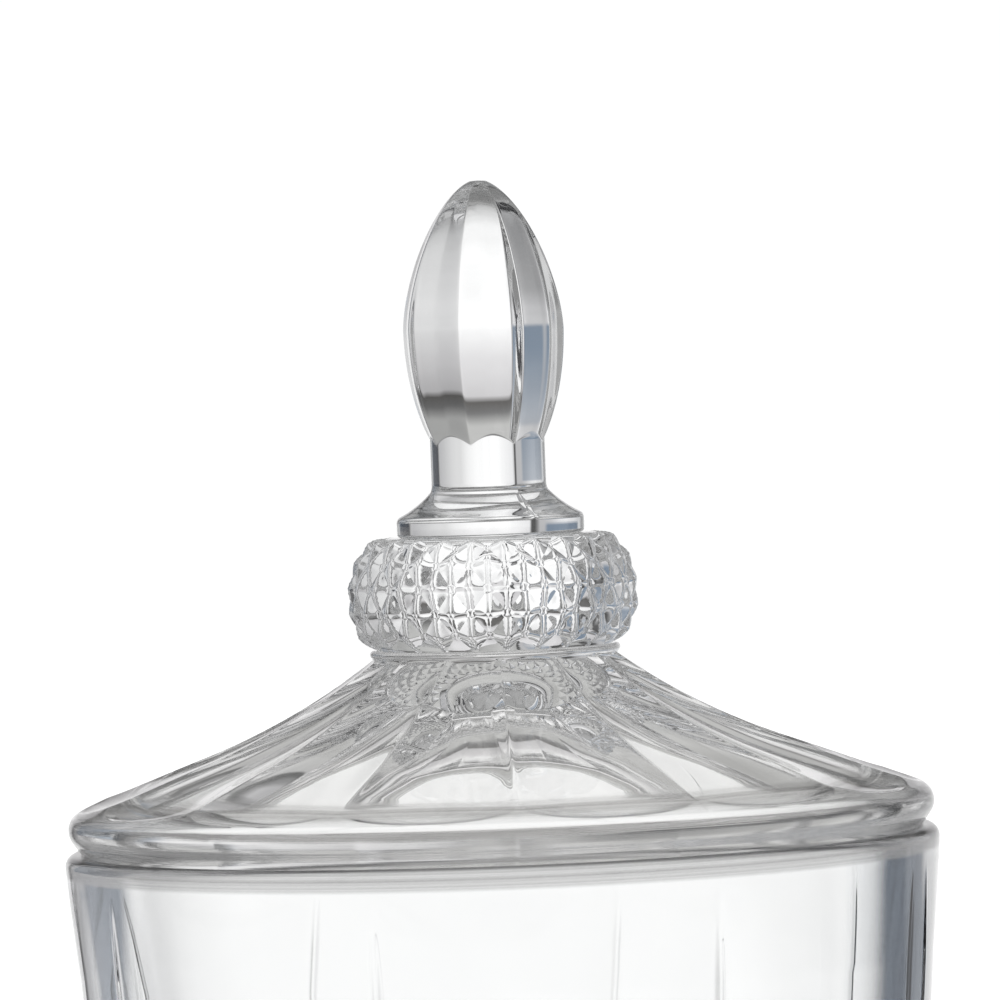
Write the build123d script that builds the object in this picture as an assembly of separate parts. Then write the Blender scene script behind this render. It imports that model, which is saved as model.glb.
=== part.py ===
from build123d import *
import math
import os

# Apothecary jar of clear pressed glass: a bowl on a diamond-cut knop and a fluted foot, and a lid
# with a fluted cone, a diamond-cut knop and an eight-sided bud. Millimetres, +Z up. The jar's axis
# is Z, the table is z = 0, and the mould seam of jar and lid lies in the XZ plane.

# Bowl
lip_height = 240.0  # the plane where the lid sits
lip_radius = 75.0  # outside of the mouth
lip_round = 2.0  # rounding of the lip's outer edge
mouth_radius = 70.7  # inside of the mouth
mouth_round = 0.8  # rounding of the lip's inner edge
wall_lean = 3.2  # degrees that the outer wall leans in just under the lip
wall_bow = 1088.0  # radius of the wall's slight outward bow
wall_depth = 116.0  # from the lip plane down to where the belly starts
wall = lip_radius - mouth_radius
belly_end = (26.0, 68.0)  # radius and height where the belly's curve stops above the waist
waist = (18.6, 58.0)
waist_swell = (20.4, 63.4)  # point on the hollow curve between waist and belly
bowl_collar_radius = 19.6
bowl_collar_edge = 2.6
panels = 8  # soft upright panels round the bowl
panel_dip = 0.015  # how far a panel's middle lies inside its ridges, as a share of the radius
panel_start = 7.0  # depth below the lip where the arched top of a panel begins
panel_full = 21.0  # depth below the lip where neighbouring panels meet
panel_stations = (  # depth below the lip, and the ridges' swell there in panel dips
    (0.0, 1.8),
    (panel_start, 1.0),
    (panel_full, 0.0),
    (40.0, 0.0),
    (66.0, 0.0),
    (90.0, 0.0),
    (wall_depth, 0.0),
)

# Diamond-cut knop, the same on the lid and on the foot. Its side is an oval arc.
knop_radius = 24.0  # at the valleys between the diamonds
knop_bulge = 7.5  # horizontal half axis of the oval
knop_half_height = 10.3  # upright half axis of the oval
knop_first, knop_last = -60, 80  # degrees along the oval, from its bottom to its top
diamonds_round = 24
diamond_rows = 6  # half diamonds from bottom to top
diamond_relief = 1.1  # height of a diamond's point above its four corners

# Fluted cones of the lid and of the foot
flutes = 14
neck_radius = 21.0  # waist between a cone and its knop
neck_ring = 1.5  # height of the ring under a knop
neck_ring_bulge = 0.5
nose_radius = 3.3  # rolled edge of a cone
rim_slope = 0.5  # fall per unit of radius of the plain rim between the nose and the flutes
cusp_inset = 5.3  # from the nose's outermost point in to where a ridge meets the plain rim
flute_depths = (  # share of the way from neck to cusp, and a flute's depth there
    (1.18, -0.02),
    (1.06, 0.41),
    (0.96, 0.97),
    (0.8, 1.4),
    (0.6, 1.5),
    (0.4, 1.4),
    (0.22, 1.1),
    (0.1, 0.8),
    (-0.02, 0.5),
)

blank_shoulder = 1.12  # a cone's blank, before the flutes: its top corner's share of neck_radius
blank_breast = 0.8  # and its lower corner's share of the rim's radius

# Lid, with heights above the lip plane
lid_radius = 74.3
lid_slope = 0.36  # fall per unit of radius along the straight outer stretch of a ridge
lid_curve = 120.0  # radius of the ridges' hollow curve up to the neck
lid_nose_height = 4.1
lid_neck_height = 31.4
seat_radius = 72.15  # outer edge of the face that rests on the lip
seat_lean = -35  # degrees where the rolled edge turns in to the seat
flange_radius = 68.4  # plug flange that drops into the mouth
flange_wall = 3.4
flange_depth = 2.2
flange_round = 0.5
lid_hollow_edge = -1.0  # where the flange's inner side starts to curve in
lid_hollow_bend = (64.0, 2.4)
lid_hollow = ((61.0, 5.0), (19.0, 22.2))  # straight stretch of the hollow inside the lid
lid_hollow_roof = 25.5

# Seal ring in its groove round the flange
groove_depth = 0.4
groove_top = 0.35  # depth below the lip plane
seal_height = 1.2
seal_clearance = 0.05  # running clearance to the groove's floor and sides
seal_radius = 70.15
seal_round = 0.3

# Finial, with heights above the lip plane
collar_radius = 16.1
collar_edge = 2.6
collar_round = 0.8
flare_start = (15.4, 55.6)
flare_middle = (12.5, 57.4)
flare_end = (10.1, 59.6)
stem_radius = 9.85
stem_foot = 60.8
stem_top = 70.5
stem_bevel = (1.85, 1.0)  # inwards and downwards, hidden inside the bud
bud_sides = 8
bud_side_dip = 0.06  # how far a side's middle lies inside its ridges, as a share of the radius
bud_radius = 14.3
bud_widest = 87.5
bud_tip = 113.0
bud_root = 60.0  # where the bud's lower curve would close, inside the stem
bud_upper = (1.55, 0.6)  # powers of the bud's curve above its widest ring
bud_lower = (2.0, 0.52)  # and below it
bud_stations = (64.0, 68.0, 73.0, 80.0, bud_widest, 95.0, 101.0, 106.5, 110.5, 112.2, 112.8)

# Foot
foot_radius = 56.0
foot_neck_height = 30.0
foot_slope = 0.397
foot_curve = 60.0
foot_rest_inner = 47.0  # inside of the flat ring that stands on the table
foot_hollow_bend = (45.7, 0.9)
foot_hollow = ((43.5, 3.5), (22.0, 18.5))  # straight stretch of the hollow underneath
foot_hollow_roof = 21.5

CENTRED_ON_TOP = (Align.CENTER, Align.CENTER, Align.MAX)
STANDING = (Align.CENTER, Align.CENTER, Align.MIN)

knop_foot_rise = knop_half_height * math.sin(math.radians(-knop_first))
knop_height = knop_foot_rise + knop_half_height * math.sin(math.radians(knop_last))
foot_knop_base = foot_neck_height + neck_ring
bowl_base = foot_knop_base + knop_height
lid_knop_base = lip_height + lid_neck_height + neck_ring
finial_base = lid_knop_base + knop_height


def line(*points):
    """Straight edges through (radius, height) points in the XZ plane."""
    corners = [(r, 0, z) for r, z in points]
    return [Edge.make_line(a, b) for a, b in zip(corners, corners[1:])]


def arc(start, middle, end):
    """An arc through three (radius, height) points in the XZ plane."""
    return [Edge.make_three_point_arc(*[(r, 0, z) for r, z in (start, middle, end)])]


def on_circle(centre, radius, degrees):
    """The (radius, height) point of a circle at an angle above the horizontal."""
    turn = math.radians(degrees)
    return (centre[0] + radius * math.cos(turn), centre[1] + radius * math.sin(turn))


def around(centre, radius, first, last):
    """An arc about a (radius, height) centre between two angles in degrees."""
    return arc(*[on_circle(centre, radius, a) for a in (first, (first + last) / 2, last)])


def vault(corner, top_height):
    """An arc centred on Z, from a (radius, height) corner up to the axis."""
    rise = top_height - corner[1]
    radius = (corner[0] ** 2 + rise**2) / (2 * rise)
    centre = (0, top_height - radius)
    return around(centre, radius, math.degrees(math.atan2(corner[1] - centre[1], corner[0])), 90)


def turned(*stretches):
    """The solid swept about Z by a closed outline of edges."""
    edges = [edge for stretch in stretches for edge in stretch]
    return revolve(Face(Wire(edges)), Axis.Z)


def raised(points, height):
    """The same (radius, height) points, lifted."""
    return [(r, z + height) for r, z in points]


def polar(radius, degrees, height):
    """A point at a distance from Z, an angle from +X and a height."""
    turn = math.radians(degrees)
    return (radius * math.cos(turn), radius * math.sin(turn), height)


def ridged_ring(radius, height, sides, dip):
    """A closed wire with a ridge at each corner and sides that bow out less than a circle."""
    step = 360 / sides
    edges = []
    for i in range(sides):
        start = polar(radius, step * i, height)
        middle = polar(radius * (1 - dip), step * (i + 0.5), height)
        edges.append(Edge.make_three_point_arc(start, middle, polar(radius, step * (i + 1), height)))
    return Wire(edges)


def wall_radius(depth):
    """The bowl's outer radius at a depth below the lip's rounded edge."""
    return lip_radius - math.tan(math.radians(wall_lean)) * depth - depth**2 / (2 * wall_bow)


def belly_arc():
    """Centre, radius, first and last angle of the belly's arc, tangent to the wall's lower end."""
    reach = wall_depth - lip_round
    top = (wall_radius(reach), lip_height - wall_depth)
    lean = math.atan(math.tan(math.radians(wall_lean)) + reach / wall_bow)
    across, down = top[0] - belly_end[0], top[1] - belly_end[1]
    swing = math.atan2(across, down) - lean
    radius = math.hypot(across, down) / (2 * math.sin(swing))
    centre = (top[0] - radius * math.cos(lean), top[1] + radius * math.sin(lean))
    return centre, radius, -math.degrees(lean), -math.degrees(lean + 2 * swing)


def panel_envelope():
    """The ridged shape that presses the bowl's outside into panels with arched tops."""
    centre, radius, first, last = belly_arc()
    swell = panel_dip / (1 - panel_dip)
    rings = []
    for depth, dips in panel_stations:
        ridge = wall_radius(max(depth - lip_round, 0)) * (1 + swell * dips)
        rings.append(ridged_ring(ridge, lip_height - depth, panels, panel_dip))
    for share in (0.25, 0.5, 0.75, 1):
        ridge, height = on_circle(centre, radius, first + share * (last - first))
        rings.append(ridged_ring(ridge, height, panels, panel_dip))
    return Solid.make_loft(rings)


def bowl():
    """The bowl: rounded lip, leaning wall, belly, waist and a collar that sits on the knop."""
    centre, radius, first, last = belly_arc()
    reach = wall_depth - lip_round
    lip_centre = (lip_radius - lip_round, lip_height - lip_round)
    mouth_centre = (mouth_radius + mouth_round, lip_height - mouth_round)
    wall_end = (wall_radius(reach), lip_height - wall_depth)
    inner_end = (wall_end[0] - wall, wall_end[1])
    well_height = inner_end[1] + inner_end[0] * math.tan(math.radians(-first))
    well_radius = inner_end[0] / math.cos(math.radians(first))
    middle = (wall_radius(reach / 2), lip_height - lip_round - reach / 2)
    edge_top = bowl_base + bowl_collar_edge
    outside = [
        line((0, bowl_base), (bowl_collar_radius, bowl_base), (bowl_collar_radius, edge_top)),
        line((bowl_collar_radius, edge_top), waist),
        arc(waist, waist_swell, on_circle(centre, radius, last)),
        around(centre, radius, last, first),
        arc(wall_end, middle, (lip_radius, lip_height - lip_round)),
        around(lip_centre, lip_round, 0, 90),
    ]
    inside = [
        line((lip_centre[0], lip_height), (mouth_centre[0], lip_height)),
        around(mouth_centre, mouth_round, 90, 180),
        arc((mouth_radius, mouth_centre[1]), (middle[0] - wall, middle[1]), inner_end),
        around((0, well_height), well_radius, first, -90),
        line((0, well_height - well_radius), (0, bowl_base)),
    ]
    round_bowl = turned(*outside, *inside)
    top = Pos(0, 0, lip_height) * Cylinder(lip_radius * 1.1, panel_start, align=CENTRED_ON_TOP)
    waist_part = Cylinder(belly_end[0] * 1.1, belly_end[1], align=STANDING)
    return round_bowl & (panel_envelope() + top + waist_part)


def diamond_knop(base):
    """The bulb whose surface is a lattice of four-sided pyramids, standing at a height."""
    step = 360 / diamonds_round

    def lattice(row, column, relief=0.0):
        turn = math.radians(knop_first + (knop_last - knop_first) * row / diamond_rows)
        radius = knop_radius - knop_bulge * (1 - math.cos(turn)) + relief * math.cos(turn)
        height = base + knop_foot_rise + (knop_half_height + relief) * math.sin(turn)
        return polar(radius, step * column, height)

    faces = []
    for row in range(1, diamond_rows):
        for i in range(diamonds_round):
            column = i + 0.5 * (row % 2)
            point = lattice(row, column, diamond_relief)
            corners = [lattice(row, column + 0.5), lattice(row + 1, column)]
            corners += [lattice(row, column - 0.5), lattice(row - 1, column)]
            for a, b in zip(corners, corners[1:] + corners[:1]):
                faces.append(Face(Wire.make_polygon([point, a, b])))
    for row, inner in ((0, 1), (diamond_rows, diamond_rows - 1)):
        rim = [lattice(row, i + 0.5) for i in range(diamonds_round)]
        faces.append(Face(Wire.make_polygon(rim)))
        for i in range(diamonds_round):
            ends = [lattice(row, i + 0.5), lattice(row, i + 1.5)]
            faces.append(Face(Wire.make_polygon([*ends, lattice(inner, i + 1)])))
    return Solid(Shell(faces))


def rim_start(rim_radius, nose_height):
    """Where the plain rim leaves the nose."""
    nose = (rim_radius - nose_radius, nose_height)
    return on_circle(nose, nose_radius, 90 - math.degrees(math.atan(rim_slope)))


def rim_height(rim_radius, nose_height, radius):
    """Height of the plain rim's surface at a radius."""
    start = rim_start(rim_radius, nose_height)
    return start[1] + rim_slope * (start[0] - radius)


def ridge_curve(rim_radius, nose_height, neck_height, cone_slope, cone_curve):
    """A cone's ridge as a function from radius to height and slope: straight, then hollow."""
    slope = math.atan(cone_slope)
    cusp_radius = rim_radius - cusp_inset
    cusp_height = rim_height(rim_radius, nose_height, cusp_radius)
    across, up = cusp_radius - neck_radius, neck_height - cusp_height
    along = across * math.cos(slope) + up * math.sin(slope)
    above = up * math.cos(slope) - across * math.sin(slope)
    straight = along - math.sqrt(above * (2 * cone_curve - above))
    bend = (cusp_radius - straight * math.cos(slope), cusp_height + straight * math.sin(slope))
    centre = on_circle(bend, cone_curve, 90 - math.degrees(slope))

    def ridge(radius):
        if radius > bend[0]:
            return cusp_height + cone_slope * (cusp_radius - radius), cone_slope
        drop = math.sqrt(cone_curve**2 - (radius - centre[0]) ** 2)
        return centre[1] - drop, (centre[0] - radius) / drop

    return ridge


def neck(neck_height):
    """The small ring between a cone and its knop."""
    low, top = neck_height - 2 * neck_ring, neck_height + neck_ring
    ring_start = (neck_radius, neck_height)
    ring_middle = (neck_radius + neck_ring_bulge, (neck_height + top) / 2)
    return turned(
        line((0, low), (neck_radius, low), ring_start),
        arc(ring_start, ring_middle, (neck_radius, top)),
        line((neck_radius, top), (0, top), (0, low)),
    )


def fluted_cone(rim_radius, nose_height, neck_height, ridge, nose_end, *under):
    """A cone with a rolled edge and a neck ring, pressed into flutes with a ridge over +X."""
    nose = (rim_radius - nose_radius, nose_height)
    start = rim_start(rim_radius, nose_height)
    shoulder = (neck_radius * blank_shoulder, neck_height)
    breast_radius = rim_radius * blank_breast
    breast = (breast_radius, rim_height(rim_radius, nose_height, breast_radius))
    blank = turned(
        line((0, neck_height), shoulder, breast, start),
        around(nose, nose_radius, 90 - math.degrees(math.atan(rim_slope)), nose_end),
        *under,
    )
    reach = rim_radius - cusp_inset - neck_radius
    rings = []
    for share, depth in flute_depths:
        radius = neck_radius + share * reach
        height, slope = ridge(radius)
        rings.append(ridged_ring(radius, height, flutes, depth / slope / radius))
    outer_radius = neck_radius + flute_depths[0][0] * reach
    low_part = Cylinder(rim_radius * 1.2, rim_radius, align=CENTRED_ON_TOP)
    flutes_only = Solid.make_loft(rings) + Pos(0, 0, ridge(outer_radius)[0]) * low_part
    return (Rot(0, 0, 180 / flutes) * blank & flutes_only) + neck(neck_height)


def foot():
    """The pedestal foot: a fluted cone, hollow underneath, on a flat ring."""
    nose = foot_radius - nose_radius
    corner, top = foot_hollow
    base = line((nose, 0), (foot_rest_inner, 0))
    hollow = [
        arc((foot_rest_inner, 0), foot_hollow_bend, corner),
        line(corner, top),
        vault(top, foot_hollow_roof),
        line((0, foot_hollow_roof), (0, foot_neck_height)),
    ]
    ridge = ridge_curve(foot_radius, nose_radius, foot_neck_height, foot_slope, foot_curve)
    return fluted_cone(foot_radius, nose_radius, foot_neck_height, ridge, -90, base, *hollow)


def lid_dome():
    """The lid's fluted cone with its rolled edge, seat, and grooved plug flange."""
    nose = (lid_radius - nose_radius, lid_nose_height)
    floor = flange_radius - groove_depth
    groove_bottom = groove_top + seal_height + 2 * seal_clearance
    inner = flange_radius - flange_wall
    bottom = -flange_depth
    corner, top = lid_hollow
    under = [
        line(on_circle(nose, nose_radius, seat_lean), (seat_radius, 0), (flange_radius, 0)),
        line((flange_radius, 0), (flange_radius, -groove_top), (floor, -groove_top)),
        line((floor, -groove_top), (floor, -groove_bottom), (flange_radius, -groove_bottom)),
        line((flange_radius, -groove_bottom), (flange_radius, bottom + flange_round)),
        around((flange_radius - flange_round, bottom + flange_round), flange_round, 0, -90),
        line((flange_radius - flange_round, bottom), (inner + flange_round, bottom)),
        around((inner + flange_round, bottom + flange_round), flange_round, -90, -180),
        line((inner, bottom + flange_round), (inner, lid_hollow_edge)),
        arc((inner, lid_hollow_edge), lid_hollow_bend, corner),
        line(corner, top),
        vault(top, lid_hollow_roof),
        line((0, lid_hollow_roof), (0, lid_neck_height)),
    ]
    ridge = ridge_curve(lid_radius, lid_nose_height, lid_neck_height, lid_slope, lid_curve)
    cone = fluted_cone(lid_radius, lid_nose_height, lid_neck_height, ridge, seat_lean, *under)
    return Pos(0, 0, lip_height) * cone


def lid_seal():
    """The clear ring in the flange's groove."""
    inner = flange_radius - groove_depth + seal_clearance
    top = lip_height - groove_top - seal_clearance
    bottom = top - seal_height
    edge = seal_radius - seal_round
    return turned(
        line((inner, bottom), (edge, bottom)),
        around((edge, bottom + seal_round), seal_round, -90, 0),
        line((seal_radius, bottom + seal_round), (seal_radius, top - seal_round)),
        around((edge, top - seal_round), seal_round, 0, 90),
        line((edge, top), (inner, top), (inner, bottom)),
    )


def bud_ridge(height):
    """The bud's radius over its ridges at a height above the lip plane."""
    end, powers = (bud_tip, bud_upper) if height > bud_widest else (bud_root, bud_lower)
    share = (height - bud_widest) / (end - bud_widest)
    return bud_radius * (1 - share ** powers[0]) ** powers[1]


def lid_finial():
    """Collar disc, flare and stem, with the eight-sided bud on top."""
    base = finial_base - lip_height
    edge = collar_radius - collar_round
    low, high = base + collar_round, base + collar_edge
    bevel_start = (stem_radius, stem_top - stem_bevel[1])
    bevel_end = (stem_radius - stem_bevel[0], stem_top)
    stem = turned(
        line((0, base), (edge, base)),
        around((edge, low), collar_round, -90, 0),
        line((collar_radius, low), (collar_radius, high)),
        arc((collar_radius, high), (collar_radius - 0.2, high + 0.6), flare_start),
        arc(flare_start, flare_middle, flare_end),
        line(flare_end, (stem_radius, stem_foot), bevel_start, bevel_end),
        line(bevel_end, (0, stem_top), (0, base)),
    )
    rings = [ridged_ring(bud_ridge(z), z, bud_sides, bud_side_dip) for z in bud_stations]
    bud = Solid.make_loft(rings)
    return Pos(0, 0, lip_height) * (stem + bud)


nodes = {
    "foot": foot(),
    "foot_knop": diamond_knop(foot_knop_base),
    "bowl": bowl(),
    "lid_dome": lid_dome(),
    "lid_knop": diamond_knop(lid_knop_base),
    "lid_finial": lid_finial(),
    "lid_seal": lid_seal(),
}

os.makedirs("parts", exist_ok=True)
for name, shape in nodes.items():
    export_step(shape, f"parts/{name}.step")
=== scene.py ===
import math

import bmesh
import bpy
import numpy as np
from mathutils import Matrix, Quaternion, Vector


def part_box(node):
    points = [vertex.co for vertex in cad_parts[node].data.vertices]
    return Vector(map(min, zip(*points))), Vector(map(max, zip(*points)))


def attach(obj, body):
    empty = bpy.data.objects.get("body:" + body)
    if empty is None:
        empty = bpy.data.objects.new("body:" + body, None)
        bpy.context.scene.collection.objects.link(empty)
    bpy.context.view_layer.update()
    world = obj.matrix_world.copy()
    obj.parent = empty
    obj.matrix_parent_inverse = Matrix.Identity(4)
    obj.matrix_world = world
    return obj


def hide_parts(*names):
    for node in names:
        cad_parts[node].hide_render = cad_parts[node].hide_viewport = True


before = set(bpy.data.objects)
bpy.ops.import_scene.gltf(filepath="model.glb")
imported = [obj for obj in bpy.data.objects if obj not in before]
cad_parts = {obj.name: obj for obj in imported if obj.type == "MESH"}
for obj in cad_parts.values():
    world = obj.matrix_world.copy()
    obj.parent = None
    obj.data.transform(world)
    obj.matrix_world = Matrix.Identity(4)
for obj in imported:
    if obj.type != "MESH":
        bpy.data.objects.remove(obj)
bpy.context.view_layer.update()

# The jar's glass sections as fine meshes in the CAD's places, clear-glass materials, and a
# bright-field studio. Lengths are in millimetres until a mesh is made, which turns them to metres.

MM = 0.001


# Places read from the frame

def box_mm(node):
    """A node's lowest and highest corners in millimetres."""
    low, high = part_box(node)
    return [c / MM for c in low], [c / MM for c in high]


lip_height = box_mm("bowl")[1][2]
lip_radius = box_mm("bowl")[1][0]
bowl_base = box_mm("bowl")[0][2]
foot_radius = box_mm("foot")[1][0]
lid_radius = box_mm("lid_dome")[1][0]
lid_knop_base, lid_knop_top = box_mm("lid_knop")[0][2], box_mm("lid_knop")[1][2]
foot_knop_base = box_mm("foot_knop")[0][2]
seal_radius = box_mm("lid_seal")[1][0]
bud_top = box_mm("lid_finial")[1][2]

# Pressed patterns
panels = 8
flutes = 14
diamonds_round = 24
diamond_rows = 6
bud_sides = 8

# Necks and knops
neck_radius = 21.0
neck_ring = 1.5  # height of the ring between a cone and its knop
neck_ring_bulge = 0.5
knop_valley, knop_bulge, knop_half_height = 24.0, 7.5, 10.3
knop_first, knop_last = math.radians(-60), math.radians(80)
knop_foot = knop_valley - knop_bulge * (1 - math.cos(knop_first))  # radius of the knop's lower disc
knop_top = knop_valley - knop_bulge * (1 - math.cos(knop_last))  # radius of its upper disc

# Lowest part of the finial
finial_collar, finial_edge_round = 16.1, 0.8
finial_edge = finial_collar - finial_edge_round

# Cones of the lid and of the foot: a rolled nose, a plain rim, then flutes up to the neck
nose_radius = 3.3
rim_slope = 0.5
cusp_inset = 5.3  # how far the ridges' ends lie in from the edge
lid_nose = lip_height + 4.1  # height of the middle of the lid's rolled edge
lid_slope, lid_curve = 0.36, 120.0
foot_slope, foot_curve = 0.397, 60.0

# Depth of a flute at shares of the way out from the neck to the ridges' ends
flute_shares = (1.18, 1.06, 0.96, 0.8, 0.6, 0.4, 0.22, 0.1, -0.02)
flute_depths = (-0.02, 0.41, 0.97, 1.4, 1.5, 1.4, 1.1, 0.8, 0.5)
flute_fit = np.polyfit(flute_shares, flute_depths, 5)


# Small shape helpers

def angles(count, columns, crowd=0.82):
    """Angles round Z for a pattern repeated count times, crowded near its ridges."""
    place = np.arange(count * columns) / columns
    return (place - crowd * np.sin(2 * math.pi * place) / (2 * math.pi)) * 2 * math.pi / count


def across(theta, count, softness=0.03):
    """How far a point is from the nearest ridge: 0 on a ridge, 1 midway between two."""
    share = (theta * count / (2 * math.pi)) % 1
    from_ridge = 1 - np.abs(2 * share - 1)
    return np.sqrt(from_ridge**2 + softness**2) - softness


def soft_min(a, b, blend):
    """The smaller of two values, with the crease between them rounded."""
    return (a + b - np.sqrt((a - b) ** 2 + blend**2)) / 2


def arc(centre, radius, first, last, steps):
    """Points of a circle in (radius, height) between two angles in degrees."""
    turns = np.radians(np.linspace(first, last, steps))
    return [(centre[0] + radius * math.cos(t), centre[1] + radius * math.sin(t)) for t in turns]


def through(start, middle, end, steps):
    """Points of the arc through three (radius, height) points."""
    (ax, ay), (bx, by), (cx, cy) = start, middle, end
    d = 2 * (ax * (by - cy) + bx * (cy - ay) + cx * (ay - by))
    a2, b2, c2 = ax**2 + ay**2, bx**2 + by**2, cx**2 + cy**2
    ux = (a2 * (by - cy) + b2 * (cy - ay) + c2 * (ay - by)) / d
    uy = (a2 * (cx - bx) + b2 * (ax - cx) + c2 * (bx - ax)) / d
    first = math.degrees(math.atan2(ay - uy, ax - ux))
    last = math.degrees(math.atan2(cy - uy, cx - ux))
    last += 360 * round((first - last) / 360)
    return arc((ux, uy), math.hypot(ax - ux, ay - uy), first, last, steps)


def straight(start, end, steps):
    """Evenly spaced points of a line in (radius, height), both ends included."""
    return [tuple(p) for p in np.linspace(start, end, steps)]


def vault(corner, top_height, steps):
    """An arc centred on Z, from a (radius, height) corner to just short of the axis."""
    rise = top_height - corner[1]
    radius = (corner[0] ** 2 + rise**2) / (2 * rise)
    centre = (0, top_height - radius)
    first = math.degrees(math.atan2(corner[1] - centre[1], corner[0]))
    last = 90 if rise > 0 else -90
    return arc(centre, abs(radius), first, last, steps)[:-1]


def rings_of(outline, columns):
    """Round rings, one for each (radius, height) point."""
    points = np.array(outline)
    radius = np.repeat(points[:, :1], columns, axis=1)
    height = np.repeat(points[:, 1:], columns, axis=1)
    return radius, height


def stack(*bands):
    """Joins bands of (radius, height) rings into one surface."""
    return np.vstack([b[0] for b in bands]), np.vstack([b[1] for b in bands])


def skin(surface, theta):
    """Vertices in metres, quads and the rings' vertex numbers of rings of points."""
    radius, height = surface
    rows, columns = radius.shape
    points = np.stack([radius * np.cos(theta), radius * np.sin(theta), height], axis=2)
    verts = [tuple(p) for p in points.reshape(-1, 3) * MM]
    index = np.arange(rows * columns).reshape(rows, columns)
    ahead = np.roll(index, -1, axis=1)
    quads = np.stack([index[:-1], index[1:], ahead[1:], ahead[:-1]], axis=2).reshape(-1, 4)
    faces = [tuple(int(i) for i in q) for q in quads]
    return verts, faces, index


def lathe(name, surface, theta, material, body, seams=(False, False), poles=(None, None)):
    """A mesh from rings of points. An end is closed by a pole at a height or by a flat disc.

    Where seams says so, the disc is where two sections of glass are joined hot.
    """
    verts, faces, index = skin(surface, theta)
    slots = [0] * len(faces)
    rows, columns = index.shape
    for end, (ring, flipped) in enumerate(((0, False), (rows - 1, True))):
        loop = [int(i) for i in index[ring]]
        turned = loop[::-1] if flipped else loop
        if poles[end] is not None:
            verts.append((0, 0, poles[end] * MM))
            tip = len(verts) - 1
            faces += [(tip, a, b) for a, b in zip(turned, turned[1:] + turned[:1])]
            slots += [0] * columns
        else:
            faces.append(tuple(turned))
            slots.append(1 if seams[end] else 0)
    return finished(name, verts, faces, slots, material, body)


def finished(name, verts, faces, slots, material, body, sharp=38):
    """Makes the object, smooths it except over edges sharper than an angle, and lets it ride."""
    mesh = bpy.data.meshes.new(name)
    mesh.from_pydata(verts, [], faces)
    mesh.materials.append(material)
    mesh.materials.append(fused)
    mesh.polygons.foreach_set("material_index", slots)
    mesh.validate()
    mesh.update()
    piece = bpy.data.objects.new(name, mesh)
    bpy.context.scene.collection.objects.link(piece)
    face_out(piece)
    mesh.shade_smooth()
    mesh.set_sharp_from_angle(angle=math.radians(sharp))
    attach(piece, body)
    return piece


def face_out(piece):
    """Merges doubled vertices and turns every face outwards."""
    work = bmesh.new()
    work.from_mesh(piece.data)
    bmesh.ops.remove_doubles(work, verts=work.verts, dist=1e-7)
    bmesh.ops.recalc_face_normals(work, faces=work.faces)
    work.to_mesh(piece.data)
    work.free()


# Materials

class Nodes:
    """A short way to write node graphs."""

    def __init__(self, tree):
        self.tree = tree
        tree.nodes.clear()

    def add(self, kind, inputs=None, **settings):
        node = self.tree.nodes.new(kind)
        for key, value in settings.items():
            setattr(node, key, value)
        for key, value in (inputs or {}).items():
            self.feed(node.inputs[key], value)
        return node

    def feed(self, socket, value):
        if isinstance(value, bpy.types.NodeSocket):
            self.tree.links.new(value, socket)
        else:
            socket.default_value = value

    def math(self, operation, *values, clamp=False):
        node = self.add("ShaderNodeMath", operation=operation, use_clamp=clamp)
        for socket, value in zip(node.inputs, values):
            self.feed(socket, value)
        return node.outputs[0]

    def span(self, value, low, high, first, last):
        """Carries a value from one range to another."""
        return self.add("ShaderNodeMapRange", {
            "Value": value, "From Min": low, "From Max": high, "To Min": first, "To Max": last,
        }).outputs[0]

    def window(self, value, low, high, blur):
        """1 between low and high, falling to 0 over blur on each side."""
        ends = []
        for edge, way in ((low, 1), (high, -1)):
            ends.append(self.add("ShaderNodeMapRange", {
                "Value": value,
                "From Min": edge - way * blur / 2,
                "From Max": edge + way * blur / 2,
            }, interpolation_type="SMOOTHSTEP").outputs[0])
        return self.math("MULTIPLY", *ends)

    def mix(self, factor, a, b):
        """Mixes two colours or two colour sockets."""
        node = self.add("ShaderNodeMix", data_type="RGBA", clamp_factor=True)
        self.feed(node.inputs[0], factor)
        for socket, value in ((node.inputs[6], a), (node.inputs[7], b)):
            if isinstance(value, tuple) and len(value) == 3:
                value = (*value, 1)
            self.feed(socket, value)
        return node.outputs[2]

    def times(self, a, b):
        """Multiplies two colour sockets."""
        node = self.add("ShaderNodeMix", data_type="RGBA", blend_type="MULTIPLY")
        for socket, value in ((0, 1.0), (6, a), (7, b)):
            self.feed(node.inputs[socket], value)
        return node.outputs[2]


def new_material(name):
    material = bpy.data.materials.new(name)
    material.use_nodes = True
    return material, Nodes(material.node_tree)


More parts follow.
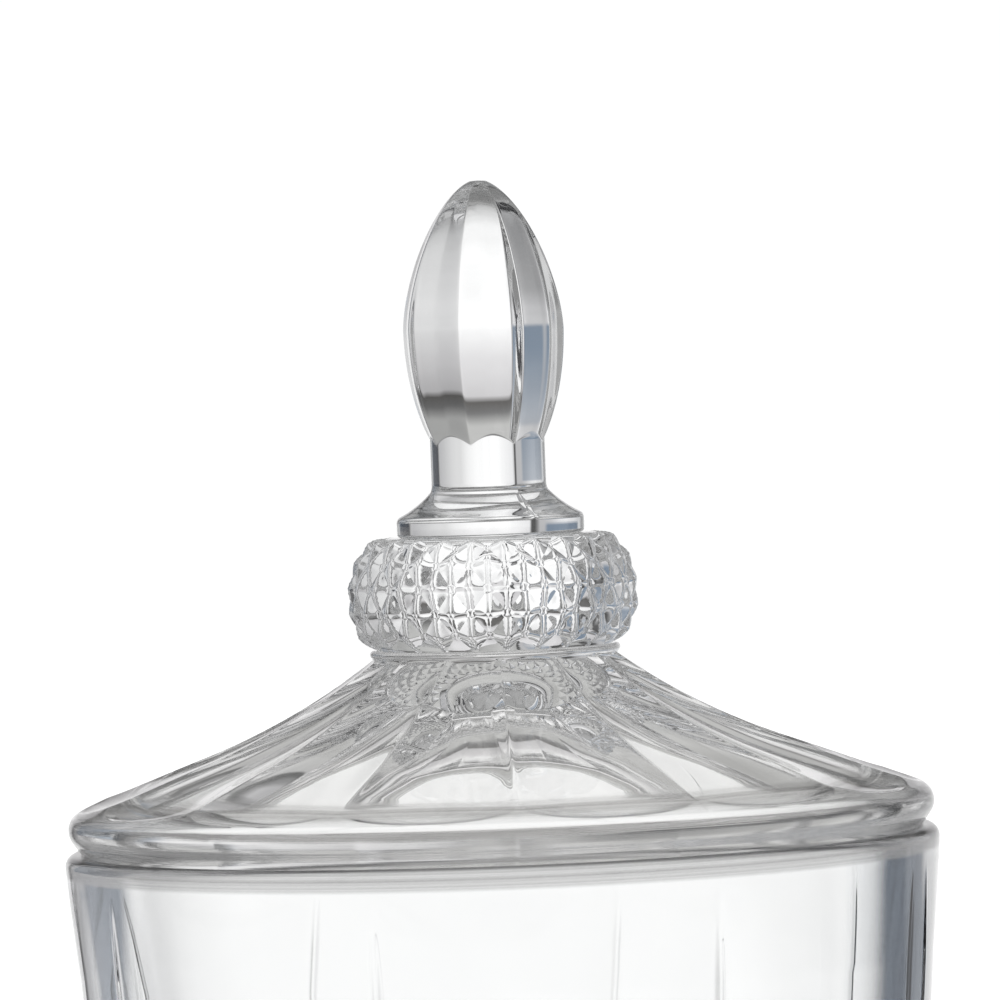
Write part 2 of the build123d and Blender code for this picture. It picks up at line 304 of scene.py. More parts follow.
def pressed_glass(name, tint, edge, wave_size, wave_depth, satin=None, edge_from=0.6, painted_shade_zones=()):
    """Clear pressed glass: slow waves from the mould, a faint tint, and a fire-polished skin.

    Satin is a lowest and a highest height with a softer, finely turned surface between them.
    Edge is the tint of painted shade that camera rays see where the surface turns away from them.
    The painted-shade zones hold a lowest height, a highest height, a blur and a darker tint for
    each band of painted shade, which only camera rays see.
    """
    material, n = new_material(name)
    place = n.add("ShaderNodeTexCoord").outputs["Object"]
    waves = n.add("ShaderNodeTexNoise", {
        "Vector": place, "Scale": 1000 / wave_size, "Detail": 1.5, "Roughness": 0.45,
    }).outputs[0]
    polish = n.add("ShaderNodeTexNoise", {
        "Vector": place, "Scale": 900, "Detail": 2.0, "Roughness": 0.5,
    }).outputs[0]
    bump = n.add("ShaderNodeBump", {"Height": waves, "Strength": 1.0, "Distance": wave_depth * MM})
    normal = bump.outputs[0]
    rough = n.span(polish, 0, 1, 0.004, 0.012)
    level = n.add("ShaderNodeSeparateXYZ", {0: place}).outputs[2]
    lines = n.add("ShaderNodeTexNoise", {"W": level, "Scale": 1400, "Detail": 2.0},
                  noise_dimensions="1D").outputs[0]
    if satin:
        band = n.window(level, satin[0] * MM, satin[1] * MM, 1.5 * MM)
        rough = n.math("ADD", rough, n.math("MULTIPLY", band, 0.11))
        depth = n.math("MULTIPLY", n.math("MULTIPLY", lines, band), 0.035 * MM)
        turned = n.add("ShaderNodeBump", {"Height": depth, "Strength": 1.0, "Distance": 1.0,
                                          "Normal": normal})
        normal = turned.outputs[0]
    streaks = n.add("ShaderNodeTexNoise", {
        "Vector": place, "Scale": 35, "Detail": 3.0, "Distortion": 0.6,
    }).outputs[0]
    colour = n.mix(streaks, tint, tuple(min(1, c + 0.012) for c in tint))
    streaky = n.span(lines, 0.35, 0.65, 0.6, 1.0)
    # Painted shade for camera rays only: a third of the way to the edge tint where the surface
    # starts to turn away, the full edge tint in a band from a facing of edge_from to 0.75, and
    # halfway to it at the silhouette.
    facing = n.add("ShaderNodeLayerWeight", {"Blend": 0.5}).outputs["Facing"]
    first = n.add("ShaderNodeLightPath").outputs["Is Camera Ray"]
    turning = n.span(facing, 0.2, 0.65, 0, 1)
    band = n.window(facing, edge_from, 0.75, 0.08)
    outline = n.window(facing, 0.75, 1.1, 0.08)
    colour = n.mix(n.math("MULTIPLY", turning, first), colour, tuple((c + 2) / 3 for c in edge))
    colour = n.mix(n.math("MULTIPLY", band, first), colour, edge)
    colour = n.mix(n.math("MULTIPLY", outline, first), colour, tuple((c + 1) / 2 for c in edge))
    # Bands of painted shade at given heights, for camera rays only, broken up by the turned lines.
    for low, high, blur, shade_tint in painted_shade_zones:
        shade_zone = n.math("MULTIPLY", n.window(level, low * MM, high * MM, blur * MM), streaky)
        colour = n.mix(n.math("MULTIPLY", shade_zone, first), colour, shade_tint)
    shader = n.add("ShaderNodeBsdfPrincipled", {
        "Base Color": colour, "Roughness": rough, "IOR": 1.51, "Transmission Weight": 1.0,
        "Normal": normal,
    })
    n.add("ShaderNodeOutputMaterial", {"Surface": shader.outputs[0]})
    return material


def fused_glass():
    """The plane where two sections were joined hot, which can't be seen in clear glass."""
    material, n = new_material("fused_joint")
    clear = n.add("ShaderNodeBsdfTransparent", {"Color": (1, 1, 1, 1)})
    n.add("ShaderNodeOutputMaterial", {"Surface": clear.outputs[0]})
    return material


def silicone():
    """Clear soft silicone: milky at its edges, with fine moulding marks."""
    material, n = new_material("clear_silicone")
    place = n.add("ShaderNodeTexCoord").outputs["Object"]
    marks = n.add("ShaderNodeTexNoise", {"Vector": place, "Scale": 400, "Detail": 3.0}).outputs[0]
    bump = n.add("ShaderNodeBump", {"Height": marks, "Strength": 0.6, "Distance": 0.03 * MM})
    rough = n.span(marks, 0, 1, 0.08, 0.2)
    colour = n.mix(marks, (0.93, 0.94, 0.94), (0.97, 0.97, 0.965))
    shader = n.add("ShaderNodeBsdfPrincipled", {
        "Base Color": colour, "Roughness": rough, "IOR": 1.41, "Transmission Weight": 1.0,
        "Normal": bump.outputs[0],
    })
    n.add("ShaderNodeOutputMaterial", {"Surface": shader.outputs[0]})
    return material


fused = fused_glass()
# Every glass gets painted shade near its silhouette in its edge tint, for camera rays only: dark
# slate on the bowl, lighter greys on the others. The bowl and the lid also get bands of painted
# shade at given heights.
bowl_glass = pressed_glass(
    "bowl_glass", tint=(0.985, 0.99, 0.988), edge=(0.07, 0.085, 0.11),
    wave_size=26, wave_depth=0.05,
    satin=(lip_height - 3.6, lip_height + 1), edge_from=0.5,
    painted_shade_zones=((lip_height - 3.6, lip_height + 1, 0.8, (0.24, 0.235, 0.235)),),
)
lid_glass = pressed_glass(
    "lid_glass", tint=(0.988, 0.985, 0.98), edge=(0.9, 0.9, 0.89),
    wave_size=14, wave_depth=0.06,
    satin=(lip_height - 3, lip_height + 6.5),
    painted_shade_zones=(
        (lip_height + 4.8, lip_height + 6.2, 0.8, (0.6, 0.595, 0.59)),
        (lip_height + 7.6, lip_height + 9.8, 1.6, (0.2, 0.194, 0.188)),
    ),
)
knop_glass = pressed_glass(
    "knop_glass", tint=(0.98, 0.985, 0.985), edge=(0.8, 0.82, 0.84),
    wave_size=4, wave_depth=0.03,
)
finial_glass = pressed_glass(
    "finial_glass", tint=(0.98, 0.984, 0.985), edge=(0.45, 0.47, 0.49),
    wave_size=12, wave_depth=0.03,
)
foot_glass = pressed_glass(
    "foot_glass", tint=(0.94, 0.942, 0.936), edge=(0.9, 0.9, 0.89),
    wave_size=14, wave_depth=0.06,
    satin=(-1, 5.5),
)
seal_silicone = silicone()


# Fluted cones

def ridge_curve(rim_radius, nose_height, neck_height, cone_slope, cone_curve):
    """A cone's ridge height as a function of radius: straight, then hollow up to the neck."""
    slope = math.atan(cone_slope)
    cusp_radius = rim_radius - cusp_inset
    cusp_height = rim_height(rim_radius, nose_height, cusp_radius)
    out, up = cusp_radius - neck_radius, neck_height - cusp_height
    along = out * math.cos(slope) + up * math.sin(slope)
    above = up * math.cos(slope) - out * math.sin(slope)
    length = along - math.sqrt(above * (2 * cone_curve - above))
    bend = (cusp_radius - length * math.cos(slope), cusp_height + length * math.sin(slope))
    centre = (bend[0] + cone_curve * math.sin(slope), bend[1] + cone_curve * math.cos(slope))

    def ridge(radius):
        inner = centre[1] - np.sqrt(np.maximum(cone_curve**2 - (radius - centre[0]) ** 2, 0))
        outer = cusp_height + cone_slope * (cusp_radius - radius)
        return np.where(radius > bend[0], outer, inner)

    return ridge


def rim_start(rim_radius, nose_height):
    """Where the plain rim leaves the rolled nose."""
    turn = math.radians(90) - math.atan(rim_slope)
    return (
        rim_radius - nose_radius + nose_radius * math.cos(turn),
        nose_height + nose_radius * math.sin(turn),
    )


def rim_height(rim_radius, nose_height, radius):
    """Height of the plain rim at a radius."""
    start = rim_start(rim_radius, nose_height)
    return start[1] + rim_slope * (start[0] - radius)


def fluted_top(rim_radius, nose_height, ridge, theta):
    """Rings of a cone's outside from its neck ring down to where the rolled nose begins."""
    scoop_depth, scoop_reach = 0.42, 3.6  # a shallow dip just inside the flutes' ends
    crease_blend = 0.16
    seam_height, seam_width = 0.1, 0.3  # the mould's parting line
    columns = len(theta)
    start = rim_start(rim_radius, nose_height)
    reach = rim_radius - cusp_inset - neck_radius
    hollow = 1 - (1 - across(theta, flutes, 0.03)) ** 2

    def flute_floor(radius):
        depth = np.polyval(flute_fit, (radius - neck_radius) / reach)
        return ridge(radius) - depth * hollow

    low = np.full(columns, rim_radius - cusp_inset - 1.5)
    high = np.full(columns, start[0])
    for _ in range(40):
        middle = (low + high) / 2
        flute_wins = flute_floor(middle) < rim_height(rim_radius, nose_height, middle)
        low, high = np.where(flute_wins, middle, low), np.where(flute_wins, high, middle)
    crease = low

    shares = 1 - (1 - np.linspace(0, 1, 84)) ** 2.2
    radius = neck_radius + (crease - neck_radius)[None, :] * shares[:, None]
    shares = np.linspace(0, 1, 16)[1:] ** 2
    rim = crease[None, :] + (start[0] - crease)[None, :] * shares[:, None]
    radius = np.vstack([radius, rim])
    inside = crease[None, :] - radius
    scoop = scoop_depth * inside * np.exp(-np.maximum(inside, 0) / scoop_reach)
    scoop = scoop * (0.3 + 0.7 * hollow)
    plain = rim_height(rim_radius, nose_height, radius)
    height = soft_min(flute_floor(radius) - scoop, plain, crease_blend)
    seam = np.exp(-((np.sin(theta)[None, :] * radius / seam_width) ** 2))
    height = height + seam_height * seam
    height[-1] = start[1]
    return radius, height


def neck_rings(neck_height, columns):
    """The ring between a cone and its knop, from the joint's edge down."""
    top = neck_height + neck_ring
    middle = (neck_radius + neck_ring_bulge, (neck_height + top) / 2)
    outline = [(knop_foot, top)]
    outline += through((neck_radius, top), middle, (neck_radius, neck_height), 10)
    return rings_of(outline[:-1], columns)


def foot():
    """The pedestal foot, hollow underneath."""
    theta = angles(flutes, 32)
    columns = len(theta)
    neck_height = foot_knop_base - neck_ring
    ridge = ridge_curve(foot_radius, nose_radius, neck_height, foot_slope, foot_curve)
    nose = (foot_radius - nose_radius, nose_radius)
    ground_inner, bend, hollow_edge = (47.0, 0), (45.7, 0.9), (43.5, 3.5)
    hollow_top, roof = (22.0, 18.5), 21.5
    steep = 90 - math.degrees(math.atan(rim_slope))
    under = arc(nose, nose_radius, steep, -90, 16)[1:]
    under += straight((nose[0], 0), ground_inner, 4)[1:]
    under += through(ground_inner, bend, hollow_edge, 8)[1:]
    under += straight(hollow_edge, hollow_top, 14)[1:]
    under += vault(hollow_top, roof, 10)[1:]
    surface = stack(
        neck_rings(neck_height, columns),
        fluted_top(foot_radius, nose_radius, ridge, theta),
        rings_of(under, columns),
    )
    piece = lathe("foot_glass", surface, theta, foot_glass, "jar", (True, False), (None, roof))
    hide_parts("foot")


def lid_dome():
    """The lid's cone with its rolled edge, seat, plug flange and hollow underside."""
    theta = angles(flutes, 32)
    columns = len(theta)
    neck_height = lid_knop_base - neck_ring
    ridge = ridge_curve(lid_radius, lid_nose, neck_height, lid_slope, lid_curve)
    nose = (lid_radius - nose_radius, lid_nose)
    steep = 90 - math.degrees(math.atan(rim_slope))
    nose_end = -35  # angle where the rolled edge turns in to the seat
    seat_radius = 72.15
    flange_radius, flange_wall, soft = 68.4, 3.4, 0.5
    groove_depth = 0.4
    floor, inner = flange_radius - groove_depth, flange_radius - flange_wall
    ring_top, ring_bottom = lip_height - 0.35, lip_height - 1.65
    bottom = lip_height - 2.2
    hollow_foot = (inner, lip_height - 1)
    hollow_bend = (inner - 1, lip_height + 2.4)
    hollow_edge = (inner - 4, lip_height + 5)
    hollow_top, roof = (19, lip_height + 22.2), lip_height + 25.5
    under = arc(nose, nose_radius, steep, nose_end, 16)[1:]
    under += straight(under[-1], (seat_radius, lip_height), 4)[1:]
    under += straight((seat_radius, lip_height), (flange_radius, lip_height), 4)[1:]
    under += straight((flange_radius, lip_height), (flange_radius, ring_top), 3)[1:]
    under += [(floor, ring_top), (floor, ring_bottom), (flange_radius, ring_bottom)]
    under += straight((flange_radius, ring_bottom), (flange_radius, bottom + soft), 3)[1:]
    under += arc((flange_radius - soft, bottom + soft), soft, 0, -90, 7)[1:]
    under += arc((inner + soft, bottom + soft), soft, -90, -180, 7)
    under += straight((inner, bottom + soft), hollow_foot, 5)[1:]
    under += through(hollow_foot, hollow_bend, hollow_edge, 8)[1:]
    under += straight(hollow_edge, hollow_top, 24)[1:]
    under += vault(hollow_top, roof, 12)[1:]
    surface = stack(
        neck_rings(neck_height, columns),
        fluted_top(lid_radius, lid_nose, ridge, theta),
        rings_of(under, columns),
    )
    piece = lathe("lid_dome_glass", surface, theta, lid_glass, "lid", (True, False), (None, roof))
    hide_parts("lid_dome")


# Bowl

def bowl():
    """The bowl: rounded lip, soft panels with fine ribs between them, belly, waist and collar."""
    theta = angles(panels, 56)
    columns = len(theta)
    lean, bow, depth, wall = math.radians(3.2), 1088.0, 116.0, 4.3
    lip_round, mouth_round = 2.0, 0.8
    belly_end, waist_swell, waist = (26.0, 68.0), (20.4, 63.4), (18.6, 58.0)
    collar, collar_height, under_round, over_round = 19.6, 2.6, 0.6, 0.4
    dip, rib_height, rib_width = 0.008, 0.32, 0.7
    reach = depth - lip_round

    def wall_radius(fall):
        return lip_radius - math.tan(lean) * fall - fall**2 / (2 * bow)

    turn = math.atan(math.tan(lean) + reach / bow)
    top = (wall_radius(reach), lip_height - depth)
    out, down = top[0] - belly_end[0], top[1] - belly_end[1]
    swing = math.atan2(out, down) - turn
    belly_radius = math.hypot(out, down) / (2 * math.sin(swing))
    centre = (top[0] - belly_radius * math.cos(turn), top[1] + belly_radius * math.sin(turn))
    first, last = -math.degrees(turn), -math.degrees(turn + 2 * swing)
    belly = arc(centre, belly_radius, last, first, 40)

    low_edge, high_edge = bowl_base + under_round, bowl_base + collar_height - over_round
    base = straight((knop_top, bowl_base), (collar - under_round, bowl_base), 3)
    base += arc((collar - under_round, low_edge), under_round, -90, 0, 5)[1:]
    base += straight((collar, low_edge), (collar, high_edge), 3)[1:]
    base += arc((collar - over_round, high_edge), over_round, 0, 80, 4)[1:]
    base += straight(base[-1], waist, 6)[1:]
    base += through(waist, waist_swell, belly[0], 12)[1:]
    falls = np.concatenate([np.linspace(reach, 24, 34), np.linspace(24, 0, 34)[1:]])
    side = [(wall_radius(f), lip_height - lip_round - f) for f in falls]
    lip = arc((lip_radius - lip_round, lip_height - lip_round), lip_round, 0, 90, 9)[1:]
    mouth = (lip_radius - wall + mouth_round, lip_height - mouth_round)
    lip += straight(lip[-1], (mouth[0], lip_height), 3)[1:]
    lip += arc(mouth, mouth_round, 90, 180, 6)[1:]
    falls = np.linspace(0, reach, 24)
    inside = [(wall_radius(f) - wall, lip_height - lip_round - f) for f in falls]
    well = inside[-1]
    well_height = well[1] + well[0] * math.tan(turn)
    well_radius = well[0] / math.cos(turn)
    inside += arc((0, well_height), well_radius, first, -90, 30)[1:-1]

    rows = belly + side[1:]
    radius, height = rings_of(rows, columns)
    hollow = 1 - (1 - across(theta, panels, 0.03)[None, :]) ** 2
    below = lip_height - height
    fade = np.clip((height - belly_end[1]) / 12, 0, 1) ** 0.7  # out towards the waist
    fade = fade * np.clip((below - 5) / 16, 0, 1)  # and towards the lip
    from_rib = across(theta, panels, 0)[None, :] * math.pi / panels * radius
    rib = rib_height * np.exp(-((from_rib / rib_width) ** 2)) * fade
    outside = (radius * (1 - dip * hollow * fade) + rib, height)
    surface = stack(
        rings_of(base[:-1], columns),
        outside,
        rings_of(lip, columns),
        rings_of(inside, columns),
    )
    poles = (None, well_height - well_radius)
    piece = lathe("bowl_glass", surface, theta, bowl_glass, "jar", (True, False), poles)
    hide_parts("bowl")


# Diamond-cut knops

def diamond_knop(name, node, base, base_radius, top_radius, body):
    """A bulb covered in a lattice of pyramids, from one joint disc to the other."""
    valley, bulge, half_height = knop_valley, knop_bulge, knop_half_height
    first, last = knop_first, knop_last
    relief, cells, edge_power, fullness = 1.1, 10, 6, 1.25
    rise = half_height * math.sin(-first)
    step = 2 * math.pi / diamonds_round
    verts, faces, slots = [], [], []

    def point(row, column, lift=0.0):
        turn = first + (last - first) * row / diamond_rows
        radius = valley - bulge * (1 - math.cos(turn)) + lift * math.cos(turn)
        height = base + rise + (half_height + lift) * math.sin(turn)
        return (
            radius * math.cos(step * column) * MM,
            radius * math.sin(step * column) * MM,
            height * MM,
        )

    def add_face(corners, slot=0):
        start = len(verts)
        verts.extend(corners)
        faces.append(tuple(range(start, start + len(corners))))
        slots.append(slot)

    def pyramid(row, column):
        def at(a, b):
            a_edge, b_edge = abs(a) ** edge_power, abs(b) ** edge_power
            edge = (a_edge + b_edge - a_edge * b_edge) ** (1 / edge_power)
            return point(row + (a - b) / 2, column + (a + b) / 4, relief * (1 - edge**fullness))

        marks = [2 * i / cells - 1 for i in range(cells + 1)]
        for a0, a1 in zip(marks, marks[1:]):
            for b0, b1 in zip(marks, marks[1:]):
                add_face([at(a0, b0), at(a1, b0), at(a1, b1), at(a0, b1)])

    def border_triangle(row, inward, column):
        def at(share, side):
            return point(row + inward * share, column + (side - 0.5) * (1 - share))

        for k in range(cells):
            low, high = k / cells, (k + 1) / cells
            lows = [at(low, i / (cells - k)) for i in range(cells - k + 1)]
            tops = [at(high, i / max(cells - k - 1, 1)) for i in range(cells - k)]
            for i in range(cells - k):
                add_face([lows[i], lows[i + 1], tops[i]])
            for i in range(cells - k - 1):
                add_face([lows[i + 1], tops[i + 1], tops[i]])

    for i in range(diamonds_round):
        for row in range(1, diamond_rows):
            pyramid(row, i + 0.5 * (row % 2))
        border_triangle(0, 1, i + 1)
        border_triangle(diamond_rows, -1, i + 1)

    marks = [j / cells for j in range(diamonds_round * cells)]
    for row, joint_radius in ((0, base_radius), (diamond_rows, top_radius)):
        rim = [Vector(point(row, m)) for m in marks]
        joint = []
        for p in rim:
            flat = Vector((p.x, p.y, 0)).normalized() * joint_radius * MM
            joint.append(flat + Vector((0, 0, p.z)))
        if (rim[0] - joint[0]).length > 1e-6:
            for i in range(len(rim)):
                j = (i + 1) % len(rim)
                add_face([tuple(rim[i]), tuple(rim[j]), tuple(joint[j]), tuple(joint[i])])
        add_face([tuple(p) for p in joint], 1)

    piece = finished(name, verts, faces, slots, knop_glass, body, sharp=24)
    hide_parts(node)


# Finial

def lid_finial():
    """Collar disc, flare and stem, with the eight-sided bud and the mould seam."""
    theta = angles(bud_sides, 48)
    columns = len(theta)
    base = lid_knop_top
    collar, edge_round, edge, collar_height = finial_collar, finial_edge_round, finial_edge, 2.6
    stem = 9.85
    stem_start = (stem, lip_height + 60.8)
    flare = ((15.4, lip_height + 55.6), (12.5, lip_height + 57.4), (10.1, lip_height + 59.6))
    widest, tip, root = lip_height + 87.5, lip_height + 113.0, lip_height + 60.0
    bud_radius, dip = 14.35, 0.08
    bud_upper, bud_lower = (1.55, 0.6), (2, 0.52)  # inner and outer power of the fall each way
    crease_low, crease_high = lip_height + 64.0, lip_height + 75.0
    seam_width, seam_height = 0.035, 0.007  # in radians, and as a share of the radius
    hollow = 1 - (1 - across(theta, bud_sides, 0.05)) ** 2

    def bud(height):
        up = np.clip((height - widest) / (tip - widest), 0, 1)
        down = np.clip((widest - height) / (widest - root), 0, 1)
        upper = (1 - up ** bud_upper[0]) ** bud_upper[1]
        lower = (1 - down ** bud_lower[0]) ** bud_lower[1]
        return bud_radius * upper * lower * (1 - dip * hollow * (1 - up**6))

    low, high = np.full(columns, crease_low), np.full(columns, crease_high)
    for _ in range(40):
        middle = (low + high) / 2
        inside = bud(middle) < stem
        low, high = np.where(inside, middle, low), np.where(inside, high, middle)
    crease = low

    outline = [(edge, base)]
    outline += arc((edge, base + edge_round), edge_round, -90, 0, 6)[1:]
    collar_top = (collar, base + collar_height)
    outline += straight((collar, base + edge_round), collar_top, 4)[1:]
    outline += through(collar_top, (collar - 0.2, base + 3.2), flare[0], 5)[1:]
    outline += through(*flare, 10)[1:]
    outline += through(flare[2], (9.93, lip_height + 60.1), stem_start, 4)[1:]
    shares = np.linspace(0, 1, 26)[1:, None]
    stem_height = stem_start[1] + (crease - stem_start[1])[None, :] * shares
    stem_rings = (np.full_like(stem_height, stem), stem_height)
    top = bud_top - 0.02
    shares = np.concatenate([
        np.linspace(0, 0.05, 10)[1:],
        np.linspace(0.05, 0.9, 80)[1:],
        0.9 + 0.0975 * np.sin(np.linspace(0, math.pi / 2, 22)[1:]),
    ])
    bud_height = crease[None, :] + (top - crease)[None, :] * shares[:, None]
    bud_rings = (bud(bud_height), bud_height)
    radius, height = stack(rings_of(outline, columns), stem_rings, bud_rings)
    seam = np.exp(-((np.sin(theta) / seam_width) ** 2))
    radius = radius * (1 + seam_height * seam[None, :] * (height > base + 3))
    surface, poles = (radius, height), (None, top)
    piece = lathe("lid_finial_glass", surface, theta, finial_glass, "lid", (True, False), poles)
    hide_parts("lid_finial")


def lid_seal():
    """The clear ring in the flange's groove."""
    inner, outer, soft = 68.05, seal_radius, 0.5
    low, high = lip_height - 1.6, lip_height - 0.4
    columns = 256
    outline = straight((inner, high), (inner, low), 3)
    outline += straight((inner, low), (outer - soft, low), 3)[1:]
    outline += arc((outer - soft, low + soft), soft, -90, 0, 6)[1:]
    outline += [(outer - 0.25, (low + high) / 2)]
    outline += arc((outer - soft, high - soft), soft, 0, 90, 6)
    verts, faces, _ = skin(rings_of(outline + outline[:1], columns), angles(1, columns, 0))
    piece = finished("lid_seal_ring", verts, faces, [0] * len(faces), seal_silicone, "seal")
    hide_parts("lid_seal")


foot()
diamond_knop("foot_knop_glass", "foot_knop", foot_knop_base, knop_foot, knop_top, "jar")
bowl()
lid_dome()
diamond_knop("lid_knop_glass", "lid_knop", lid_knop_base, knop_foot, finial_edge, "lid")
lid_finial()
lid_seal()


# Studio

# Greys and tints of the room as glass sees it, by elevation straight ahead of the camera and by
# turn round it, in degrees. The lens itself sees plain white paper.
AHEAD = (
    (-90, (0.30, 0.30, 0.30)),
    (-52, (0.46, 0.46, 0.46)),
    (-36, (0.90, 0.90, 0.90)),
    (-22, (1.08, 1.08, 1.08)),
    (-1, (1.08, 1.08, 1.08)),
    (5, (0.86, 0.85, 0.86)),
    (12, (0.66, 0.65, 0.66)),
    (13.2, (0.12, 0.115, 0.11)),
    (16, (0.18, 0.18, 0.18)),
    (20, (0.56, 0.56, 0.55)),
    (50, (0.60, 0.60, 0.59)),
    (90, (0.46, 0.46, 0.46)),
)
SPREAD = (
    (-20, (0.76, 0.76, 0.77)),
    (-7, (1.0, 1.0, 1.0)),
    (7, (1.0, 1.0, 1.0)),
    (20, (0.74, 0.74, 0.74)),
    (46, (0.50, 0.50, 0.51)),
)
ROUND = (
    (-180, (0.40, 0.40, 0.40)),
    (-110, (0.45, 0.45, 0.45)),
    (-90, (0.12, 0.12, 0.12)),
    (-70, (0.14, 0.14, 0.15)),
    (-65, (1.0, 1.0, 1.0)),
    (-38, (0.95, 0.95, 0.96)),
    (-25, (0.50, 0.50, 0.51)),
    (-22, (0.50, 0.50, 0.51)),
    (-20.5, (0.08, 0.08, 0.08)),
    (-17, (0.08, 0.08, 0.08)),
    (47, (0.50, 0.50, 0.50)),
    (49, (0.04, 0.04, 0.045)),
    (67, (0.05, 0.05, 0.055)),
    (71, (0.70, 0.70, 0.70)),
    (95, (0.60, 0.60, 0.60)),
    (120, (0.35, 0.35, 0.35)),
    (180, (0.40, 0.40, 0.40)),
)
ABOVE = (
    (-90, (0.5, 0.5, 0.5)),
    (-30, (0.55, 0.55, 0.55)),
    (-15, (0.65, 0.65, 0.65)),
    (-9, (1.0, 1.0, 1.0)),
    (35, (1.0, 1.0, 1.0)),
    (60, (0.8, 0.8, 0.8)),
    (90, (0.8, 0.8, 0.8)),
)


# A blue card to the left and the lit backdrop: lowest and highest angles in degrees
CARD_TURN = (-60, -26)
CARD_RISE = (-1.5, 24)
CARD_BLUE = (0.17, 0.23, 0.31)
BACKDROP_TURN = (-17.5, 46)


def ramp(n, angle, stops):
    """Colours along an angle, blended between neighbouring stops."""
    low, high = stops[0][0], stops[-1][0]
    node = n.add("ShaderNodeValToRGB", {0: n.span(angle, low, high, 0, 1)})
    marks = node.color_ramp.elements
    while len(marks) < len(stops):
        marks.new(0.5)
    for mark, (at, colour) in zip(marks, stops):
        mark.position = (at - low) / (high - low)
        mark.color = (*colour, 1)
    return node.outputs[0]


def room(n, right, ahead, up):
    """The room's shade in a direction given in the camera's frame."""
    turn = n.math("MULTIPLY", n.math("ARCTAN2", right, ahead), 180 / math.pi)
    rise = n.math("MULTIPLY", n.math("ARCSINE", up), 180 / math.pi)
    sides = n.times(ramp(n, turn, ROUND), ramp(n, rise, ABOVE))
    blue_card = n.math("MULTIPLY", n.window(turn, *CARD_TURN, 3), n.window(rise, *CARD_RISE, 3))
    fading = n.span(rise, 4, 25, 0.95, 0.35)
    around = n.mix(n.math("MULTIPLY", blue_card, fading), sides, CARD_BLUE)
    backdrop = n.times(ramp(n, turn, SPREAD), ramp(n, rise, AHEAD))
    shade = n.mix(n.window(turn, *BACKDROP_TURN, 1.5), around, backdrop)
    way = n.add("ShaderNodeCombineXYZ", {0: right, 1: up, 2: ahead}).outputs[0]
    uneven = n.add("ShaderNodeTexNoise", {"Vector": way, "Scale": 5.0, "Detail": 3.0}).outputs[0]
    cloud = n.span(uneven, 0, 1, 0.82, 1.16)
    return n.add("ShaderNodeVectorMath", {0: shade, 3: cloud}, operation="SCALE").outputs[0]


def studio_floor():
    """A large pale disc. The camera sees it lit, plus a painted glow that is weaker near the jar
    and so paints shade round it; from glass it glows with the room's greys and cards.
    """
    mesh = bpy.data.meshes.new("studio_floor")
    floor_radius, sides = 6, 96
    turns = np.linspace(0, 2 * math.pi, sides + 1)[:-1]
    edge = [(floor_radius * math.cos(t), floor_radius * math.sin(t), 0) for t in turns]
    mesh.from_pydata(edge, [], [tuple(range(sides))])
    material, n = new_material("pale_paper")
    place = n.add("ShaderNodeTexCoord").outputs["Object"]
    grain = n.add("ShaderNodeTexNoise", {"Vector": place, "Scale": 60, "Detail": 4.0}).outputs[0]
    seen = n.add("ShaderNodeLightPath").outputs["Is Camera Ray"]
    colour = n.mix(grain, (0.82, 0.82, 0.82), (0.86, 0.86, 0.86))
    paper = n.add("ShaderNodeBsdfDiffuse", {"Color": colour})
    toward = n.add("ShaderNodeNewGeometry").outputs["Incoming"]
    away = n.add("ShaderNodeVectorMath", {0: toward, 3: -1}, operation="SCALE").outputs[0]
    local = n.add("ShaderNodeVectorTransform", {0: away}, vector_type="VECTOR",
                  convert_from="WORLD", convert_to="CAMERA").outputs[0]
    right, _, ahead = n.add("ShaderNodeSeparateXYZ", {0: local}).outputs
    up = n.add("ShaderNodeSeparateXYZ", {0: away}).outputs[2]
    far = n.add("ShaderNodeVectorMath", {0: place}, operation="LENGTH").outputs["Value"]
    # Painted glow for camera rays, weaker near the jar, which adds painted shade round the foot on
    # top of the real shadow.
    painted_glow = n.add("ShaderNodeMapRange", {
        "Value": far, "From Min": 0.12, "From Max": 1.0, "To Min": 0.54, "To Max": 0.9,
    }, interpolation_type="SMOOTHSTEP").outputs[0]
    glow = n.add("ShaderNodeEmission", {"Strength": painted_glow})
    lit_and_painted_glow = n.add("ShaderNodeAddShader", {0: paper.outputs[0], 1: glow.outputs[0]})
    # Seen from glass the floor is not lit but glows with the room's greys and cards, painted light
    # in the floor's place.
    through_glass = n.add("ShaderNodeEmission", {"Color": room(n, right, ahead, up)})
    surface = n.add("ShaderNodeMixShader", {
        0: seen, 1: through_glass.outputs[0], 2: lit_and_painted_glow.outputs[0],
    })
    n.add("ShaderNodeOutputMaterial", {"Surface": surface.outputs[0]})
    mesh.materials.append(material)
    floor = bpy.data.objects.new("studio_floor", mesh)
    bpy.context.scene.collection.objects.link(floor)
    floor.location.z = -0.0002


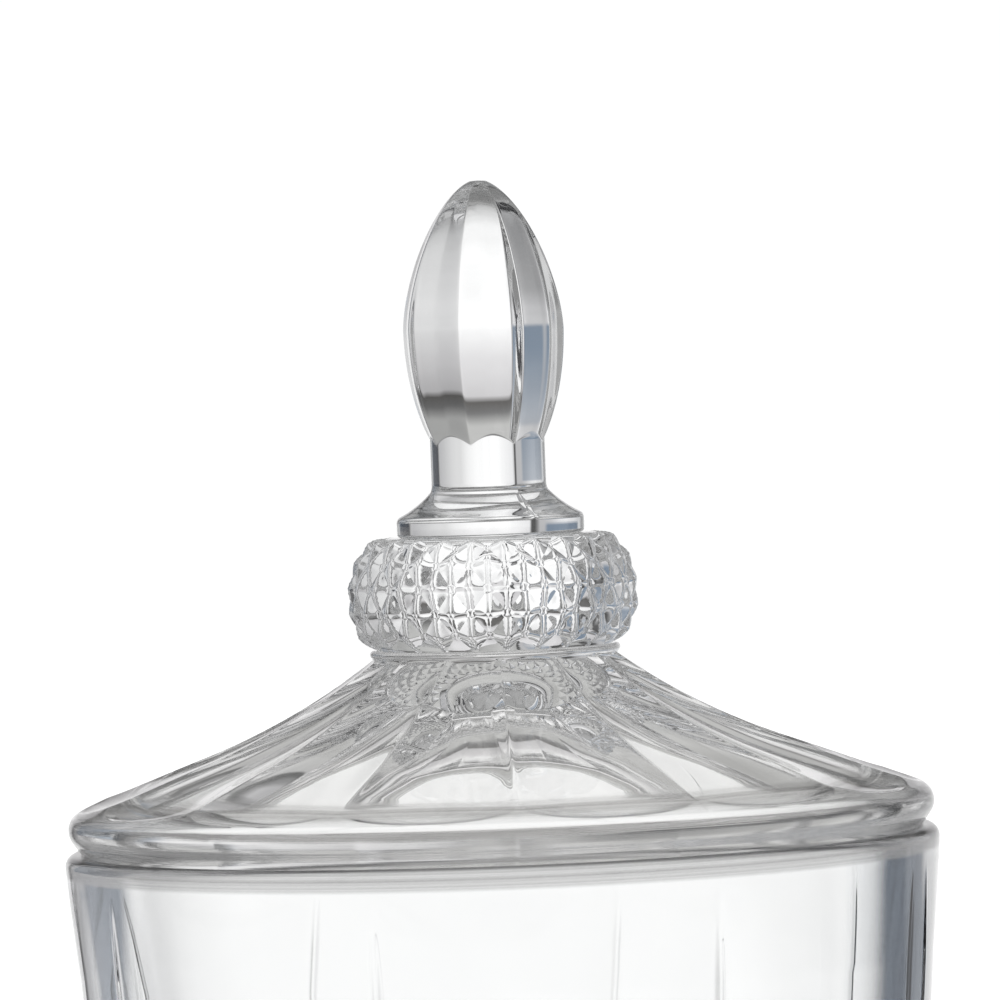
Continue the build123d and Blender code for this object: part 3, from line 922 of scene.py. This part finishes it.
def studio_world():
    """A lit backdrop behind the object and grey cards round it, which turn with the camera."""
    world = bpy.data.worlds.new("bright_field")
    bpy.context.scene.world = world
    world.use_nodes = True
    n = Nodes(world.node_tree)
    way = n.add("ShaderNodeTexCoord")
    right, _, ahead = n.add("ShaderNodeSeparateXYZ", {0: way.outputs["Camera"]}).outputs
    up = n.add("ShaderNodeSeparateXYZ", {0: way.outputs["Generated"]}).outputs[2]
    seen = n.add("ShaderNodeLightPath").outputs["Is Camera Ray"]
    shade = n.mix(seen, room(n, right, ahead, up), (1.02, 1.02, 1.02))
    back = n.add("ShaderNodeBackground", {"Color": shade, "Strength": 1.0})
    n.add("ShaderNodeOutputWorld", {"Surface": back.outputs[0]})


def studio_camera():
    """A long lens a little above the lip, tipped a touch, aimed at the lid and jar's shoulder."""
    distance = 1.4
    lens, sensor = 294.0, 36.0
    rise, turn, roll = 3.7, 61.8, -2.15
    aim_above_lip, aim_aside = 57.9 * MM, 1.8 * MM
    target = Vector((0, 0, lip_height * MM + aim_above_lip))
    back = Vector((math.sin(math.radians(turn)), -math.cos(math.radians(turn)), 0))
    side = Vector((0, 0, 1)).cross(back)
    height = lip_height * MM + distance * math.tan(math.radians(rise))
    data = bpy.data.cameras.new("camera")
    data.lens, data.sensor_width = lens, sensor
    data.clip_start, data.clip_end = 0.05, 50
    camera = bpy.data.objects.new("camera", data)
    bpy.context.scene.collection.objects.link(camera)
    aim = target + side * aim_aside
    camera.location = Vector((back.x * distance, back.y * distance, height)) + side * aim_aside
    camera.rotation_mode = "QUATERNION"
    look = (aim - camera.location).to_track_quat("-Z", "Y")
    camera.rotation_quaternion = look @ Quaternion((0, 0, 1), math.radians(roll))
    bpy.context.scene.camera = camera


studio_floor()
studio_world()
studio_camera()

settings = bpy.context.scene.cycles
settings.max_bounces = 40
settings.transmission_bounces = 40
settings.glossy_bounces = 24
settings.diffuse_bounces = 4
settings.transparent_max_bounces = 40
settings.caustics_refractive = True
settings.caustics_reflective = True
settings.blur_glossy = 0.0
bpy.context.scene.view_settings.view_transform = "Standard"
